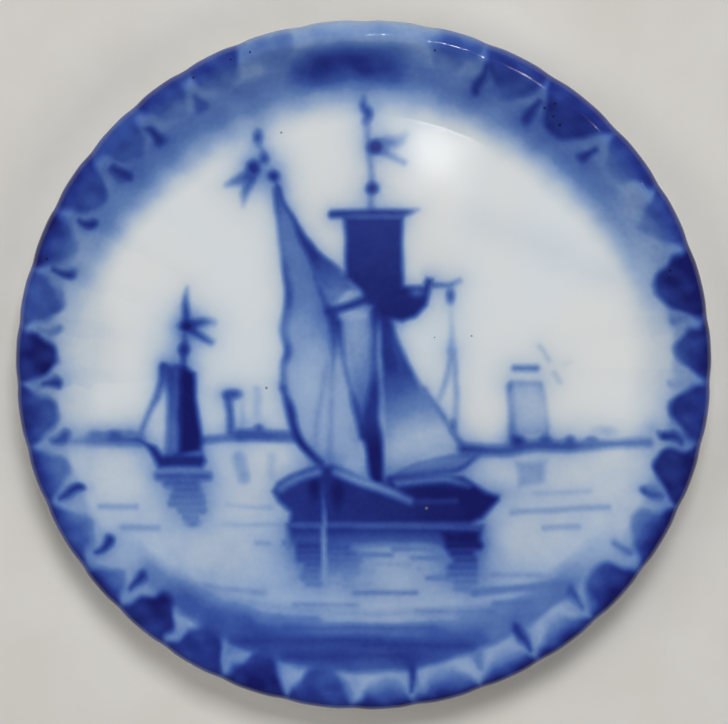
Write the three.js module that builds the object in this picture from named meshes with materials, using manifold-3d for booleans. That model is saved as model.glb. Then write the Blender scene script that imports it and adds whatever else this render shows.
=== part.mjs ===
// A small round porcelain souvenir plate: a shallow dish with a softly scalloped edge, on a foot
// ring. A coat of glass-like glaze covers the body, down to the foot's bare bearing edge.
//
// Millimetres, +Z up out of the dish, +Y towards the top of its picture. The origin is the centre
// of the foot ring, on the plane that the plate stands on.

import * as THREE from "three";
import { mergeVertices } from "three/addons/utils/BufferGeometryUtils.js";
import Module from "manifold-3d";

const wasm = await Module();
wasm.setup();

// Driving dimensions of the whole plate.
const OUTSIDE_RADIUS = 22.5;
const TOTAL_HEIGHT = 5.5;
const WELL_DEPTH = 1.7; // from the crest of the rim down to the floor of the dish
const BASE_THICKNESS = 2.3; // through the floor, from glazed face to glazed underside
const GLAZE_THICKNESS = 0.2;

// The section of the dish, from the floor up a hollow curve and a leaning wall to the rim's crest.
const FLOOR_RADIUS = 16.3;
const WALL_LEAN = THREE.MathUtils.degToRad(30);
const CREST_HALF_WIDTH = 0.85; // from the crest out to the widest point
const EDGE_HEIGHT = 1.0; // from the crest down to the widest point

// The scalloped edge: shallow notches between the lobes.
const LOBE_COUNT = 33;
const NOTCH_DEPTH = 0.1;
const NOTCH_SHARPNESS = 3;
const SCALLOPS_START_RADIUS = 19.5; // the notches fade out towards the floor, and end here

// The foot ring, seen in section.
const FOOT_OUTER_RADIUS = 13.3;
const FOOT_INNER_RADIUS = 11.3;
const FOOT_EDGE_ROUNDING = 0.3;
const BARE_EDGE_HEIGHT = 0.4; // the glaze is wiped off the foot below this height
const FOOT_FILLET = 0.5; // the glaze pools to this radius where the foot meets the underside

// How finely the round forms are divided.
const SEGMENTS = 3 * LOBE_COUNT;
const HOLLOW_STEPS = 3;
const CREST_STEPS = 2;
const EDGE_STEPS = 3;
const TURN_UNDER_STEPS = 4;
const UNDERSIDE_STEPS = 2;

// Sizes that follow from the dimensions above.
const FLOOR_Z = TOTAL_HEIGHT - WELL_DEPTH;
const UNDERSIDE_Z = FLOOR_Z - BASE_THICKNESS;
const FOOT_TOP_Z = UNDERSIDE_Z + GLAZE_THICKNESS;
const CREST_RADIUS = OUTSIDE_RADIUS - CREST_HALF_WIDTH;
const EDGE_Z = TOTAL_HEIGHT - EDGE_HEIGHT;

// The hollow curve's radius, so that the leaning wall is tangent to it and to the crest.
const HOLLOW_RADIUS =
  ((CREST_RADIUS - FLOOR_RADIUS) * Math.sin(WALL_LEAN) - WELL_DEPTH * Math.cos(WALL_LEAN)) /
    (1 - Math.cos(WALL_LEAN)) -
  CREST_HALF_WIDTH;
const HOLLOW_CENTRE_Z = FLOOR_Z + HOLLOW_RADIUS;

// The underside follows the hollow curve, one base thickness further out.
const UNDERSIDE_RADIUS = HOLLOW_RADIUS + BASE_THICKNESS;

// The rim turns under from its widest point with this radius, to run smoothly into the underside.
const TURN_UNDER_RADIUS =
  (UNDERSIDE_RADIUS -
    (OUTSIDE_RADIUS - FLOOR_RADIUS) * Math.sin(WALL_LEAN) -
    (HOLLOW_CENTRE_Z - EDGE_Z) * Math.cos(WALL_LEAN)) /
  (1 - Math.sin(WALL_LEAN));

const point = (radius, z) => new THREE.Vector2(radius, z);

// Points along an elliptical arc of the section, between two angles in radians.
function arc(centreRadius, centreZ, halfWidth, halfHeight, from, to, steps) {
  const clockwise = to < from;
  const curve = new THREE.EllipseCurve(centreRadius, centreZ, halfWidth, halfHeight, from, to, clockwise);
  return curve.getPoints(steps);
}

// The glazed surface in section: out along the floor, over the rim and back under to the foot.
function glazedSection() {
  const up = Math.PI / 2;
  const hollow = [FLOOR_RADIUS, HOLLOW_CENTRE_Z, HOLLOW_RADIUS, HOLLOW_RADIUS];
  const crest = [CREST_RADIUS, TOTAL_HEIGHT - CREST_HALF_WIDTH, CREST_HALF_WIDTH, CREST_HALF_WIDTH];
  const edge = [CREST_RADIUS, EDGE_Z, CREST_HALF_WIDTH, EDGE_HEIGHT];
  const turn = [OUTSIDE_RADIUS - TURN_UNDER_RADIUS, EDGE_Z, TURN_UNDER_RADIUS, TURN_UNDER_RADIUS];
  const underside = [FLOOR_RADIUS, HOLLOW_CENTRE_Z, UNDERSIDE_RADIUS, UNDERSIDE_RADIUS];
  return [
    point(0, FLOOR_Z),
    ...arc(...hollow, -up, -up + WALL_LEAN, HOLLOW_STEPS),
    ...arc(...crest, up + WALL_LEAN, up, CREST_STEPS),
    ...arc(...edge, up, 0, EDGE_STEPS).slice(1),
    ...arc(...turn, 0, -up + WALL_LEAN, TURN_UNDER_STEPS).slice(1),
    ...arc(...underside, -up + WALL_LEAN, -up, UNDERSIDE_STEPS),
    point(FOOT_OUTER_RADIUS + GLAZE_THICKNESS + FOOT_FILLET, UNDERSIDE_Z),
  ];
}

// The same section moved inwards by a distance, mitred at its corners.
function inset(section, distance) {
  return section.map((corner, index) => {
    const before = section[Math.max(index - 1, 0)];
    const after = section[Math.min(index + 1, section.length - 1)];
    const into = (from, to) => point(to.y - from.y, from.x - to.x).normalize();
    const first = index > 0 ? into(before, corner) : into(corner, after);
    const second = index < section.length - 1 ? into(corner, after) : first;
    const reach = distance / (1 + first.dot(second));
    return first.add(second).multiplyScalar(reach).add(corner);
  });
}

// Draws the vertices near the edge inwards between the lobes.
function scallop(geometry) {
  const position = geometry.getAttribute("position");
  for (let index = 0; index < position.count; index += 1) {
    const x = position.getX(index);
    const y = position.getY(index);
    const radius = Math.hypot(x, y);
    if (radius > SCALLOPS_START_RADIUS) {
      const reach = THREE.MathUtils.smoothstep(radius, SCALLOPS_START_RADIUS, OUTSIDE_RADIUS);
      const wave = (1 + Math.cos(LOBE_COUNT * Math.atan2(x, -y))) / 2;
      const factor = 1 - (NOTCH_DEPTH * reach * wave ** NOTCH_SHARPNESS) / radius;
      position.setXY(index, x * factor, y * factor);
    }
  }
  return geometry;
}

// A closed body turned about Z from a section that runs clockwise, with the radius to the right.
function turned(section) {
  const anticlockwise = [...section].reverse();
  const geometry = new THREE.LatheGeometry(anticlockwise, SEGMENTS);
  return scallop(geometry.rotateX(Math.PI / 2));
}

// The same mesh with its shared vertices merged, and its collapsed triangles left out.
function welded(geometry) {
  const bare = geometry.clone();
  bare.deleteAttribute("normal");
  bare.deleteAttribute("uv");
  const merged = mergeVertices(bare);
  const corners = merged.getIndex().array;
  const triangles = [];
  for (let index = 0; index < corners.length; index += 3) {
    const [a, b, c] = corners.subarray(index, index + 3);
    if (a !== b && b !== c && c !== a) triangles.push(a, b, c);
  }
  return merged.setIndex(triangles);
}

// A closed mesh as a solid that can be cut.
function solid(geometry) {
  const mesh = welded(geometry);
  const vertProperties = mesh.getAttribute("position").array;
  const triVerts = new Uint32Array(mesh.getIndex().array);
  return new wasm.Manifold(new wasm.Mesh({ numProp: 3, vertProperties, triVerts }));
}

// One closed mesh less another.
function cut(geometry, tool) {
  const { vertProperties, triVerts } = solid(geometry).subtract(solid(tool)).getMesh();
  const rest = new THREE.BufferGeometry();
  rest.setAttribute("position", new THREE.BufferAttribute(vertProperties, 3));
  rest.setIndex(new THREE.BufferAttribute(triVerts, 1));
  const result = welded(rest);
  result.computeVertexNormals();
  return result;
}

// The clay body: the whole dish under its glaze, with a flat underside where the foot is joined.
function porcelainBody() {
  return turned([
    ...inset(glazedSection(), GLAZE_THICKNESS),
    point(FOOT_OUTER_RADIUS, FOOT_TOP_Z),
    point(FOOT_INNER_RADIUS, FOOT_TOP_Z),
    point(0, FOOT_TOP_Z),
  ]);
}

// The foot: a low ring luted to the underside, with its bearing edge rounded off on both sides.
function footRing() {
  const section = [
    point(FOOT_INNER_RADIUS, FOOT_TOP_Z),
    point(FOOT_OUTER_RADIUS, FOOT_TOP_Z),
    point(FOOT_OUTER_RADIUS, BARE_EDGE_HEIGHT),
    point(FOOT_OUTER_RADIUS - FOOT_EDGE_ROUNDING, 0),
    point(FOOT_INNER_RADIUS + FOOT_EDGE_ROUNDING, 0),
    point(FOOT_INNER_RADIUS, BARE_EDGE_HEIGHT),
  ];
  return turned([...section, section[0]]);
}

// The glaze over the painted face, the rim, the underside and the outside of the foot: what is left
// of the glazed dish once the clay body is taken out of it.
function outerGlaze() {
  const glazedDish = turned([
    ...glazedSection(),
    point(FOOT_OUTER_RADIUS + GLAZE_THICKNESS, UNDERSIDE_Z - FOOT_FILLET),
    point(FOOT_OUTER_RADIUS + GLAZE_THICKNESS, BARE_EDGE_HEIGHT + GLAZE_THICKNESS),
    point(FOOT_OUTER_RADIUS, BARE_EDGE_HEIGHT),
    point(FOOT_OUTER_RADIUS, FOOT_TOP_Z),
    point(0, FOOT_TOP_Z),
  ]);
  return cut(glazedDish, porcelainBody());
}

// The glaze inside the foot ring: the ceiling of the recess and the inside of the foot.
function recessGlaze() {
  return turned([
    point(0, FOOT_TOP_Z),
    point(FOOT_INNER_RADIUS, FOOT_TOP_Z),
    point(FOOT_INNER_RADIUS, BARE_EDGE_HEIGHT),
    point(FOOT_INNER_RADIUS - GLAZE_THICKNESS, BARE_EDGE_HEIGHT + GLAZE_THICKNESS),
    point(FOOT_INNER_RADIUS - GLAZE_THICKNESS, UNDERSIDE_Z - FOOT_FILLET),
    point(FOOT_INNER_RADIUS - GLAZE_THICKNESS - FOOT_FILLET, UNDERSIDE_Z),
    point(0, UNDERSIDE_Z),
  ]);
}

const finish = (color, roughness) => new THREE.MeshStandardMaterial({ color, roughness, metalness: 0 });
const biscuit = () => finish("#e4dfd3", 0.75);
const paintedGlaze = () => finish("#8da3c6", 0.12);
const clearGlaze = () => finish("#d3d9dd", 0.12);

function piece(name, geometry, material) {
  const mesh = new THREE.Mesh(geometry, material);
  mesh.name = name;
  return mesh;
}

const plate = new THREE.Group();
plate.name = "souvenir_plate";
plate.add(
  piece("porcelain_body", porcelainBody(), biscuit()),
  piece("foot_ring", footRing(), biscuit()),
  piece("outer_glaze", outerGlaze(), paintedGlaze()),
  piece("recess_glaze", recessGlaze(), clearGlaze()),
);

export default plate;
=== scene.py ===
"""The looks of the souvenir plate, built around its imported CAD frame.

The glaze, the recess and the foot are remade as fine closed meshes in the places that their CAD
nodes hold. The picture is painted stroke by stroke: every vertex of the glaze keeps how much
cobalt lies under it, from 0 for bare white to 1 for the deepest navy, and the material turns that
amount into colour.

Lengths are in millimetres until a mesh is made, and in metres from there on. Azimuths run
clockwise from the top of the picture, in degrees. Reach is the distance from the plate's axis
over its outside radius, and it goes on growing past 1 where the rim turns under.
"""

import math

import bpy
import numpy as np
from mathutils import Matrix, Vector


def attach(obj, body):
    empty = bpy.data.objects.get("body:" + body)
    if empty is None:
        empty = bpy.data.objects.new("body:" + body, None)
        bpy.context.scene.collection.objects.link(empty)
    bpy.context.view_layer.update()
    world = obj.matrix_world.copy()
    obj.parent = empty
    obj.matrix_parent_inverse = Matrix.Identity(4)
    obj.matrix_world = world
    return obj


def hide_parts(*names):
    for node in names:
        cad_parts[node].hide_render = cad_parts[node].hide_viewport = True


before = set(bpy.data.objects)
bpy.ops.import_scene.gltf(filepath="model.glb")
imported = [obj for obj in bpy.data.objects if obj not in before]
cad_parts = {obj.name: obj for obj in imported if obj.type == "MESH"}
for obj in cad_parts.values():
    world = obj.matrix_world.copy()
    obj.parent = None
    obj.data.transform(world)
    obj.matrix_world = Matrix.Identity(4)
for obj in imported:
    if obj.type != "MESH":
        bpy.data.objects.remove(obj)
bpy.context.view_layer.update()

# ---- The plate's section, as in its CAD ----

OUTSIDE_RADIUS = 22.5
TOTAL_HEIGHT = 5.5
WELL_DEPTH = 1.7  # from the crest of the rim down to the floor of the dish
BASE_THICKNESS = 2.3
GLAZE_THICKNESS = 0.2
FLOOR_RADIUS = 16.3
WALL_LEAN = math.radians(30)
CREST_HALF_WIDTH = 0.85  # from the crest out to the widest point
EDGE_HEIGHT = 1.0  # from the crest down to the widest point
FOOT_OUTER_RADIUS = 13.3
FOOT_INNER_RADIUS = 11.3
FOOT_EDGE_ROUNDING = 0.3
BARE_EDGE_HEIGHT = 0.4
FOOT_FILLET = 0.5

FLOOR_Z = TOTAL_HEIGHT - WELL_DEPTH
UNDERSIDE_Z = FLOOR_Z - BASE_THICKNESS
FOOT_TOP_Z = UNDERSIDE_Z + GLAZE_THICKNESS
CREST_RADIUS = OUTSIDE_RADIUS - CREST_HALF_WIDTH
EDGE_Z = TOTAL_HEIGHT - EDGE_HEIGHT
HOLLOW_RADIUS = (
    (CREST_RADIUS - FLOOR_RADIUS) * math.sin(WALL_LEAN) - WELL_DEPTH * math.cos(WALL_LEAN)
) / (1 - math.cos(WALL_LEAN)) - CREST_HALF_WIDTH
HOLLOW_CENTRE_Z = FLOOR_Z + HOLLOW_RADIUS
UNDERSIDE_RADIUS = HOLLOW_RADIUS + BASE_THICKNESS
TURN_UNDER_RADIUS = (
    UNDERSIDE_RADIUS
    - (OUTSIDE_RADIUS - FLOOR_RADIUS) * math.sin(WALL_LEAN)
    - (HOLLOW_CENTRE_Z - EDGE_Z) * math.cos(WALL_LEAN)
) / (1 - math.sin(WALL_LEAN))

# How finely the meshes are divided: vertices in a ring, and steps along the section.
FACE_RINGS = 140  # from the centre to the top of the hollow curve, each 6 vertices longer
RIM_COUNT = 6 * FACE_RINGS
UNDERSIDE_COUNT = RIM_COUNT // 2
HIDDEN_COUNT = RIM_COUNT // 4
RIM_STEPS = 6
UNDERSIDE_STEPS = 9
FILLET_STEPS = 5
GLAZE_END_STEPS = 3
HIDDEN_STEPS = 5
HIDDEN_RIM_STEPS = 3
RECESS_RINGS = 12

# The relief of the rim, and the end of its paint under the lip.
NOTCH_DEPTH = 0.1
NOTCH_SHARPNESS = 3
NOTCHES_START_RADIUS = 19.5
RIDGE_HEIGHT = 0.02
RIM_UNEVENNESS = 0.012
FACE_UNEVENNESS = 0.0005
PAINT_END_REACH = 1.035
PAINT_END_FADE = 0.015  # of reach, to each side of the end

# Dark specks in the glaze of the rim: azimuth, reach and radius. Then pits in the face: x, y, radius.
SPECKS = [
    (12.5, 0.937, 0.10), (34.5, 0.910, 0.11), (35.5, 0.938, 0.12), (36.7, 0.905, 0.11),
    (38.6, 0.897, 0.14), (72.0, 0.922, 0.12), (73.2, 0.914, 0.10), (289.5, 0.960, 0.12),
    (330.0, 0.968, 0.10), (337.0, 0.967, 0.09), (340.5, 0.966, 0.10),
]
PITS = [(-5.3, 15.2, 0.10), (7, 2, 0.09), (4.6, 1.9, 0.07), (-6.3, -1.4, 0.12), (4.1, -9.3, 0.13)]
SPECK_COLOUR = (14, 16, 46)
PIT_COLOUR = (120, 118, 108)
SPECK_STRENGTH = 0.85
SPECK_CORE = 0.4  # the share of its radius over which a speck is fully dark

MM = 0.001  # a millimetre in metres

# The studio, in metres and degrees. The camera's lens and sensor are in millimetres.
BASE_GAIN = 1.3  # how much lighter the glaze is than it looks under the lights
FLOOR_GAIN = 1.36
FLOOR_SIZE = 1.0
FLOOR_GAP = 0.00002
LIGHT_DISTANCE = 0.6
DAYLIGHT = (0.98, 0.99, 1.0)
LAMPLIGHT = (1.0, 0.96, 0.90)
FACE_LAMP = (0.0136, -0.0375, 0.597)
FACE_SPOT = (0.0046, 0.0136, FLOOR_Z * MM)
CREST_LAMP = (0.0260, -0.0030, 0.600)
CREST_SPOT = (0.0068, 0.0205, TOTAL_HEIGHT * MM)
AIR_COLOUR = (0.95, 0.97, 1.0, 1)
AIR_STRENGTH = 0.12
CAMERA_DISTANCE = 0.3
CAMERA_TILT = 7.5
CAMERA_LENS = 229.4
CAMERA_SENSOR = 36
CAMERA_AIM = (0.00003, 0.00039, EDGE_Z * MM)

# ---- The painter's tools ----

BLEED = 0.75  # how far the edge of a stroke runs into the glaze
HALO_STRENGTH = 0.26
HALO_WIDTH = 0.6
FAR_AWAY = 1000.0
CURVE_STEPS = 6  # between two points of a brushed line
RIPPLE_WAVES = 7

# How far the edges of the painting waver: in millimetres across and up, in degrees, and in reach.
WAVER_X = 0.03
WAVER_Y = 0.02
WAVER_AZIMUTH = 0.35
WAVER_REACH = 0.0025
BRUSH_UNEVENNESS = 0.045

# How deep the cobalt is, from bare glaze at 0 to the darkest brushwork at 1.
FAINT = 0.12
PALE = 0.28
SOFT = 0.42
HALF = 0.58
DEEP = 0.74
DARK = 0.88
INK = 1.0

# The colour of the fired cobalt at a few amounts, in sRGB out of 255.
COBALT_COLOURS = [
    (0.00, (209, 213, 216)),
    (0.15, (184, 195, 207)),
    (0.30, (145, 167, 200)),
    (0.50, (92, 123, 179)),
    (0.70, (54, 82, 157)),
    (0.85, (33, 51, 132)),
    (1.00, (13, 18, 92)),
]


def smoothstep(low, high, value):
    """0 at low, 1 at high, and a smooth change between them."""
    t = np.clip((value - low) / (high - low), 0, 1)
    return t * t * (3 - 2 * t)


def band(value, start, full, fall, end):
    """0 up to start, 1 between full and fall, 0 again from end, and smooth in between."""
    return smoothstep(start, full, value) * (1 - smoothstep(fall, end, value))


def round_curve(points):
    """Points along a smooth curve that passes through the given ones."""
    points = np.array(points, float)
    before = 2 * points[0] - points[1]
    after = 2 * points[-1] - points[-2]
    knots = [before, *points, after]
    curve = []
    for a, b, c, d in zip(knots, knots[1:], knots[2:], knots[3:]):
        square = 2 * a - 5 * b + 4 * c - d
        cube = 3 * b - a - 3 * c + d
        for t in np.arange(CURVE_STEPS) / CURVE_STEPS:
            curve.append(0.5 * (2 * b + (c - a) * t + square * t**2 + cube * t**3))
    return [*curve, points[-1]]


def ripple_field(x, y, seed, wavelength):
    """A smooth field between about -1 and 1, with no direction of its own."""
    random = np.random.default_rng(seed)
    field = np.zeros(len(x))
    for _ in range(RIPPLE_WAVES):
        direction = random.uniform(0, 2 * math.pi)
        number = 2 * math.pi / (wavelength * random.uniform(0.6, 1.6))
        phase = random.uniform(0, 2 * math.pi)
        field += np.sin(number * (x * math.cos(direction) + y * math.sin(direction)) + phase)
    return field / math.sqrt(RIPPLE_WAVES)


class Canvas:
    """The cobalt over a set of points of the plate."""

    def __init__(self, x, y, reach):
        azimuth = np.degrees(np.arctan2(x, y))
        self.x = x + WAVER_X * ripple_field(x, y, seed=1, wavelength=2.2)
        self.y = y + WAVER_Y * ripple_field(x, y, seed=2, wavelength=2.8)
        self.azimuth = (azimuth + WAVER_AZIMUTH * ripple_field(x, y, seed=3, wavelength=2.0)) % 360
        self.reach = reach + WAVER_REACH * ripple_field(x, y, seed=4, wavelength=1.5)
        self.cobalt = np.zeros(len(x))

    def lay(self, cover, depth):
        """Darkens the covered points towards a depth."""
        self.cobalt += np.maximum(depth - self.cobalt, 0) * cover

    def lift(self, cover, depth):
        """Lightens the covered points towards a depth, as a lifting brush does."""
        self.cobalt += np.minimum(depth - self.cobalt, 0) * cover

    def apply(self, outside, depth, bleed=BLEED, lift=False):
        """Lays or lifts cobalt where the distance outside a shape's edge is below zero.

        The colour bleeds across the edge, and a faint halo of laid cobalt runs on further.
        """
        cover = 1 - smoothstep(-bleed / 2, bleed / 2, outside)
        if lift:
            self.lift(cover, depth)
        else:
            halo = HALO_STRENGTH * np.exp(-np.maximum(outside, 0) / HALO_WIDTH)
            self.lay(np.maximum(cover, halo), depth)

    def from_line(self, x0, y0, x1, y1):
        """How far along a straight line each point lies, from 0 to 1, and how far away from it."""
        length = max((x1 - x0) ** 2 + (y1 - y0) ** 2, 1e-9)
        along = np.clip(((self.x - x0) * (x1 - x0) + (self.y - y0) * (y1 - y0)) / length, 0, 1)
        away = np.hypot(self.x - x0 - along * (x1 - x0), self.y - y0 - along * (y1 - y0))
        return along, away

    def fade(self, start, end):
        """A depth that changes evenly from one (x, y, depth) to another."""
        along, _ = self.from_line(*start[:2], *end[:2])
        return start[2] + (end[2] - start[2]) * along

    def stroke(self, points, width, depth, bleed=BLEED, lift=False):
        """A brushed line. Its width may be one number or one for each point, and so may its depth."""
        widths = np.broadcast_to(width, len(points))
        depths = np.broadcast_to(depth, len(points))
        rows = [(*point, *touch) for point, *touch in zip(points, widths, depths)]
        if len(points) > 2:
            rows = round_curve(rows)
        nearest = np.full(len(self.x), FAR_AWAY)
        depth_there = np.zeros(len(self.x))
        for (x0, y0, width0, from_depth), (x1, y1, width1, to_depth) in zip(rows, rows[1:]):
            along, away = self.from_line(x0, y0, x1, y1)
            outside = away - (width0 + (width1 - width0) * along) / 2
            closer = outside < nearest
            nearest = np.where(closer, outside, nearest)
            depth_there = np.where(closer, from_depth + (to_depth - from_depth) * along, depth_there)
        self.apply(nearest, depth_there, bleed, lift)

    def patch(self, corners, depth, bleed=BLEED):
        """A filled outline. Its depth is a number or a fade."""
        nearest = np.full(len(self.x), FAR_AWAY)
        inside = np.zeros(len(self.x), bool)
        for (x0, y0), (x1, y1) in zip(corners, [*corners[1:], corners[0]]):
            _, away = self.from_line(x0, y0, x1, y1)
            nearest = np.minimum(nearest, away)
            if y0 != y1:
                level = (y0 > self.y) != (y1 > self.y)
                inside ^= level & (self.x < x0 + (self.y - y0) * (x1 - x0) / (y1 - y0))
        self.apply(np.where(inside, -nearest, nearest), depth, bleed)

    def dab(self, centre, size, depth, bleed=BLEED, lift=False):
        """One touch of the brush: an oval of a width and a height."""
        across = (self.x - centre[0]) / (size[0] / 2)
        upward = (self.y - centre[1]) / (size[1] / 2)
        self.apply((np.hypot(across, upward) - 1) * min(size) / 2, depth, bleed, lift)


# ---- The border: petals hanging in from the edge, dashes in their gaps, and a wash behind ----

# One row for each petal, clockwise: the azimuth where it starts at the edge, the azimuth and reach
# of its tip, how pointed it is from 0 for round to 1 for a triangle, and its depth at the edge and
# at the tip.
# The edge depths are deepest along the bottom, from about 100 to 180 degrees: partly the border's own tone,
# and partly painted shade on the rolled edge there.
PETALS = [
    (10.5, 14.0, 0.875, 0.2, DEEP, HALF),
    (21.0, 27.0, 0.865, 0.1, DARK, DEEP),
    (32.5, 38.5, 0.860, 0.2, DARK, DARK),
    (46.0, 51.0, 0.885, 0.8, DARK, HALF),
    (58.0, 62.5, 0.885, 0.6, DARK, HALF),
    (69.0, 75.0, 0.860, 0.1, INK, DARK),
    (81.5, 86.5, 0.890, 0.5, INK, DEEP),
    (92.0, 97.0, 0.885, 0.2, DARK, DARK),
    (103.0, 107.5, 0.875, 0.3, INK, DARK),
    (114.0, 119.0, 0.885, 0.6, INK, HALF),
    (126.0, 131.5, 0.880, 0.2, INK, DEEP),
    (137.5, 143.0, 0.900, 0.7, INK, SOFT),
    (149.0, 154.0, 0.905, 0.5, INK, SOFT),
    (160.0, 165.5, 0.890, 0.4, INK, SOFT),
    (171.0, 176.0, 0.890, 0.5, INK, SOFT),
    (181.5, 187.0, 0.875, 0.1, DARK, DEEP),
    (193.5, 198.5, 0.875, 0.2, INK, DARK),
    (204.5, 210.0, 0.875, 0.2, DARK, DARK),
    (215.5, 220.0, 0.870, 0.1, DARK, INK),
    (225.5, 229.5, 0.910, 0.8, INK, HALF),
    (235.0, 240.5, 0.900, 0.5, DARK, HALF),
    (247.0, 251.5, 0.890, 0.3, DARK, HALF),
    (256.5, 261.5, 0.885, 0.2, DARK, DEEP),
    (267.5, 271.5, 0.875, 0.1, DARK, INK),
    (277.5, 281.5, 0.880, 0.2, DEEP, DEEP),
    (287.5, 292.0, 0.885, 0.2, INK, HALF),
    (298.0, 302.0, 0.880, 0.1, DARK, DEEP),
    (308.5, 313.5, 0.880, 0.1, DEEP, DEEP),
    (319.0, 323.5, 0.880, 0.2, DARK, HALF),
    (329.0, 334.0, 0.875, 0.2, DARK, HALF),
    (339.0, 344.5, 0.880, 0.2, HALF, HALF),
]
LAST_PETAL_END = 349.5
GAPS = [0, *[start for start, *_ in PETALS], LAST_PETAL_END, 360]  # where the edge has its notches
GAP_APEX_REACH = 0.995
PETAL_BLEED = 0.85
ROUND_PETAL_POWER = 2.6  # of the curve of a round petal's inner edge
PETAL_POWER_RANGE = 1.3  # how much lower the power is for a triangle
FARTHEST_OFF_CENTRE = 1.35  # how far a petal's halo runs, over half of its width
NEAR_WATER_AZIMUTH = 186  # of the middle of the dark water along the bottom

# The dashes in the gaps: azimuth, inner and outer reach, width in degrees, depth.
DASHES = [
    (22.0, 0.865, 0.940, 2.2, DARK),
    (33.0, 0.855, 0.915, 2.4, DARK),
    (46.0, 0.870, 0.920, 2.0, DARK),
    (58.5, 0.885, 0.920, 1.3, SOFT),
    (69.0, 0.890, 0.930, 1.2, SOFT),
    (81.0, 0.900, 0.940, 1.6, HALF),
    (92.5, 0.885, 0.925, 1.3, SOFT),
    (102.5, 0.885, 0.940, 2.0, DARK),
    (113.5, 0.885, 0.935, 1.8, DEEP),
    (125.0, 0.885, 0.930, 1.4, SOFT),
    (137.5, 0.885, 0.940, 1.8, DEEP),
    (149.5, 0.880, 0.950, 2.0, DARK),
    (158.5, 0.890, 0.935, 1.5, HALF),
    (171.0, 0.885, 0.950, 1.9, DARK),
    (182.0, 0.885, 0.940, 1.2, SOFT),
    (205.0, 0.890, 0.935, 1.2, HALF),
    (226.5, 0.880, 0.925, 2.0, DARK),
    (235.5, 0.890, 0.935, 2.0, DARK),
    (247.0, 0.890, 0.950, 1.8, DARK),
    (257.0, 0.885, 0.920, 2.0, DEEP),
    (267.5, 0.885, 0.920, 1.8, DARK),
    (277.0, 0.885, 0.930, 1.6, HALF),
    (288.0, 0.885, 0.935, 1.9, DARK),
    (298.0, 0.880, 0.920, 2.0, DARK),
    (309.0, 0.875, 0.920, 2.4, DARK),
    (318.5, 0.880, 0.925, 2.2, DARK),
    (328.5, 0.880, 0.920, 1.8, DEEP),
    (338.5, 0.880, 0.920, 1.4, SOFT),
]


def top_distance(azimuth):
    """How many degrees an azimuth is from the top."""
    return np.abs((azimuth + 180) % 360 - 180)


def brushed(canvas, depth, wavelength=1.8):
    """A depth made uneven, as a loaded brush leaves it."""
    return depth * (1 + BRUSH_UNEVENNESS * ripple_field(canvas.x, canvas.y, seed=6, wavelength=wavelength))


def level_strokes(canvas, rows, thickness, bleed=BLEED):
    """Level strokes of the brush, each from its left end to its right, at a height and a depth."""
    for left, right, level, depth in rows:
        canvas.stroke([(left, level), (right, level)], thickness, depth, bleed)


def paint_border_wash(canvas):
    """The wash behind the petals: strong over the top and the bottom, and weak at the two sides.

    Going outwards it deepens inside the petals, changes to the tone of the gaps between them, and
    changes again to the tone of the edge.
    """
    from_top = top_distance(canvas.azimuth)
    strength = 1 - smoothstep(45, 88, from_top) + smoothstep(118, 145, from_top)
    inside = FAINT + (HALF - FAINT) * strength
    gap = SOFT - (SOFT - PALE) * smoothstep(50, 95, from_top)
    # Over the top the edge is paler: partly the rim's thinner paint, and partly painted light where the
    # outer wall faces the lamp.
    edge = DEEP - SOFT * smoothstep(40, 5, from_top)
    start = 0.69 + 0.06 * smoothstep(30, 75, from_top)
    depth = inside * smoothstep(start, 0.85, canvas.reach)
    depth += (gap - inside) * smoothstep(0.875, 0.905, canvas.reach)
    depth += (edge - gap) * smoothstep(0.965, 1.005, canvas.reach)
    canvas.lay(1, brushed(canvas, depth, wavelength=3))


def paint_near_water(canvas):
    """The dark near water, just inside the border at the bottom."""
    from_middle = np.abs(canvas.azimuth - NEAR_WATER_AZIMUTH)
    across = band(canvas.reach, 0.69, 0.86, 0.865, 0.90)
    canvas.lay(across * (1 - smoothstep(18, 42, from_middle)), brushed(canvas, DEEP, wavelength=3))
    rows = [
        (-4.5, -0.5, -15.7, HALF), (3.5, 8.5, -16.1, HALF), (-9.5, -3, -16.6, HALF),
        (-5, 4.5, -17.2, DEEP), (-8.5, 1, -18, DARK), (0, 7, -18.3, DARK), (-5, 3, -19, DARK),
    ]
    level_strokes(canvas, rows, thickness=0.4, bleed=1.3)


def paint_petals(canvas):
    """Each petal's inner edge is a curve from its tip out to the notches at its two ends."""
    from_top = top_distance(canvas.azimuth)
    # Near the top the petals pale towards the edge: partly thinner paint, and partly painted light where the
    # outer wall faces the lamp.
    lit_edge_paling = 1 - 0.3 * smoothstep(0.97, 1.0, canvas.reach) * smoothstep(42, 12, from_top)
    top_paling = 0.5 + 0.5 * smoothstep(8, 14, from_top)
    for row, end in zip(PETALS, GAPS[2:]):
        start, tip, tip_reach, point, edge_depth, tip_depth = row
        side = np.where(canvas.azimuth < tip, tip - start, end - tip)
        off_centre = np.minimum(np.abs(canvas.azimuth - tip) / side, FARTHEST_OFF_CENTRE)
        power = ROUND_PETAL_POWER - PETAL_POWER_RANGE * point
        rise = GAP_APEX_REACH - tip_reach
        inner_edge = tip_reach + rise * off_centre**power
        steepness = rise * power * off_centre ** (power - 1) / np.radians(side)
        inside = (canvas.reach - inner_edge) / np.sqrt(1 + steepness**2) * OUTSIDE_RADIUS
        depth = tip_depth + (edge_depth - tip_depth) * smoothstep(tip_reach + 0.01, 1.0, canvas.reach)
        depth *= lit_edge_paling * top_paling
        outside = np.where(off_centre < FARTHEST_OFF_CENTRE, -inside, FAR_AWAY)
        canvas.apply(outside, brushed(canvas, depth), PETAL_BLEED)


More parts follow.
